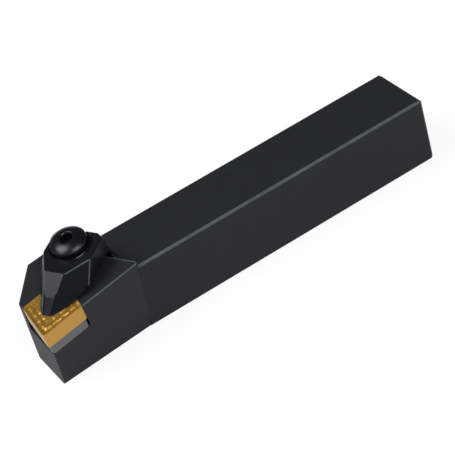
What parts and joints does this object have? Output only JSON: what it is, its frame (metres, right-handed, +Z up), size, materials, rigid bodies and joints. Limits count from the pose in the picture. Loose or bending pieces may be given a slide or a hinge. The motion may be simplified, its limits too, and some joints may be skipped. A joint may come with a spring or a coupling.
{
  "type": "turning tool holder",
  "caption": "External turning tool holder: square shank, tilted rhombic insert on a shim, held by a bridge clamp whose nose presses it down and pulls it into the pocket.",
  "frame": {"origin": "centre of the shank's rear end", "axes": "+X from the shank's rear end to the cutting point, +Y to the side that the head protrudes on, +Z up from the seat face"},
  "size_m": [0.125, 0.025, 0.0335],
  "materials": {
    "black_steel": "black oxide, satin",
    "clamp_steel": "black oxide, satin",
    "screw_steel": "black oxide, semi-gloss",
    "carbide": "ground cemented carbide",
    "coated_carbide": "golden nitride coating",
    "spring_steel": "plain"
  },
  "bodies": {
    "body": {"holder": "black_steel", "shim": "carbide", "shim_screw": "screw_steel", "insert": "coated_carbide", "clamp_spring": "spring_steel"},
    "bridge": {"clamp": "clamp_steel"},
    "screw": {"clamp_screw": "screw_steel"}
  },
  "joints": [
    {"name": "clamp_lift", "type": "slide", "parent": "body", "child": "bridge", "axis": [0.104, 0.104, 0.9891], "range_m": [0, 0.003], "deforming": ["clamp_spring"]},
    {"name": "screw_turn", "type": "hinge", "parent": "bridge", "child": "screw", "pos_m": [0.10511, 0.00013, 0.01348], "axis": [0.104, 0.104, 0.9891], "range_deg": [0, 1080]}
  ],
  "couplings": [
    {"joint": "screw_turn", "follows": "clamp_lift", "rad_per_m": 6283.2}
  ]
}
